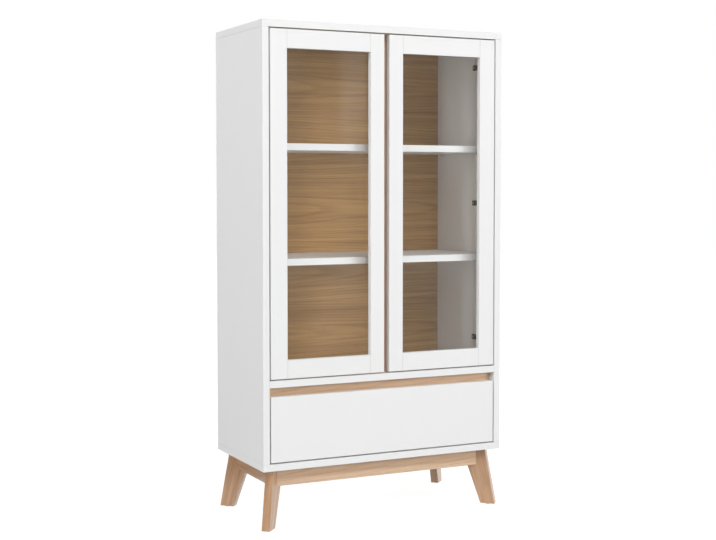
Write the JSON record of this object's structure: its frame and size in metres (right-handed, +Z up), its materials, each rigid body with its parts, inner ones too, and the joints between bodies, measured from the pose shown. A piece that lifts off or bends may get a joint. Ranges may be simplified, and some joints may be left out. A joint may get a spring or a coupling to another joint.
{
  "type": "glass-door cabinet",
  "caption": "Tall white cabinet with framed glass doors over a full-width drawer, oak grip rails and splayed oak corner legs, for kitchen storage.",
  "frame": {"origin": "on the floor under the middle of the cabinet", "axes": "+X to the right as seen from the front, +Y to the rear, +Z up"},
  "size_m": [0.85, 0.405, 1.57],
  "materials": {
    "white_board": "smooth white melamine on board",
    "oak": "clear-lacquered solid oak",
    "oak_veneer": "satin oak-grain face on thin board",
    "glass": "clear float glass",
    "hinge_steel": "dark nickel plate",
    "screw_steel": "zinc-plated steel",
    "cam_zinc": "cast zinc",
    "runner_steel": "white powder coat",
    "nylon": "natural nylon",
    "clear_plastic": "white plastic clip",
    "beech": "fluted beech dowel",
    "dark_plastic": "black plastic glide"
  },
  "bodies": {
    "carcass": {"back_panel": "oak_veneer", "base_screws": "screw_steel", "bottom_panel": "white_board", "cam_bolts": "cam_zinc", "cam_locks": "cam_zinc", "centre_post": "oak", "foot_glides": "dark_plastic", "front_base_rail": "oak", "front_left_leg": "oak", "front_right_leg": "oak", "grip_rail": "oak", "hinge_arms": "hinge_steel", "hinge_plates": "hinge_steel", "left_base_rail": "oak", "left_cabinet_runner": "runner_steel", "left_side_panel": "white_board", "lower_shelf": "white_board", "mid_panel": "white_board", "rear_base_rail": "oak", "rear_left_leg": "oak", "rear_right_leg": "oak", "right_base_rail": "oak", "right_cabinet_runner": "runner_steel", "right_side_panel": "white_board", "shelf_pins": "screw_steel", "side_panel_screws": "screw_steel", "top_panel": "white_board", "upper_shelf": "white_board", "wood_dowels": "beech"},
    "left_door": {"left_door_bottom_rail": "white_board", "left_door_clips": "clear_plastic", "left_door_dowels": "beech", "left_door_glass": "glass", "left_door_hinge_cups": "hinge_steel", "left_door_hinge_pins": "screw_steel", "left_door_hinge_stile": "white_board", "left_door_meeting_stile": "white_board", "left_door_screws": "screw_steel", "left_door_top_rail": "white_board"},
    "right_door": {"right_door_bottom_rail": "white_board", "right_door_clips": "clear_plastic", "right_door_dowels": "beech", "right_door_glass": "glass", "right_door_hinge_cups": "hinge_steel", "right_door_hinge_pins": "screw_steel", "right_door_hinge_stile": "white_board", "right_door_meeting_stile": "white_board", "right_door_screws": "screw_steel", "right_door_top_rail": "white_board"},
    "drawer": {"drawer_back": "white_board", "drawer_bottom": "white_board", "drawer_dowels": "beech", "drawer_front": "white_board", "drawer_left_runner": "runner_steel", "drawer_left_side": "white_board", "drawer_right_runner": "runner_steel", "drawer_right_side": "white_board", "drawer_screws": "screw_steel"},
    "front_roller_pair": {"front_rollers": "nylon"},
    "rear_roller_pair": {"rear_rollers": "nylon"}
  },
  "joints": [
    {"name": "left_door_hinge", "type": "hinge", "parent": "carcass", "child": "left_door", "pos_m": [-0.38186, -0.191, 1.008], "axis": [0, 0, -1], "range_deg": [0, 95]},
    {"name": "right_door_hinge", "type": "hinge", "parent": "carcass", "child": "right_door", "pos_m": [0.38186, -0.191, 1.008], "axis": [0, 0, 1], "range_deg": [0, 95]},
    {"name": "drawer_slide", "type": "slide", "parent": "carcass", "child": "drawer", "axis": [0, -1, 0], "range_m": [0, 0.28]},
    {"name": "front_roller_turn", "type": "hinge", "parent": "carcass", "child": "front_roller_pair", "pos_m": [0, -0.1675, 0.254], "axis": [1, 0, 0], "range_deg": [0, 1460]},
    {"name": "rear_roller_turn", "type": "hinge", "parent": "drawer", "child": "rear_roller_pair", "pos_m": [0, 0.1465, 0.254], "axis": [1, 0, 0], "range_deg": [0, 1460]}
  ],
  "couplings": [
    {"joint": "front_roller_turn", "follows": "drawer_slide", "rad_per_m": 90.909},
    {"joint": "rear_roller_turn", "follows": "drawer_slide", "rad_per_m": 90.909}
  ]
}
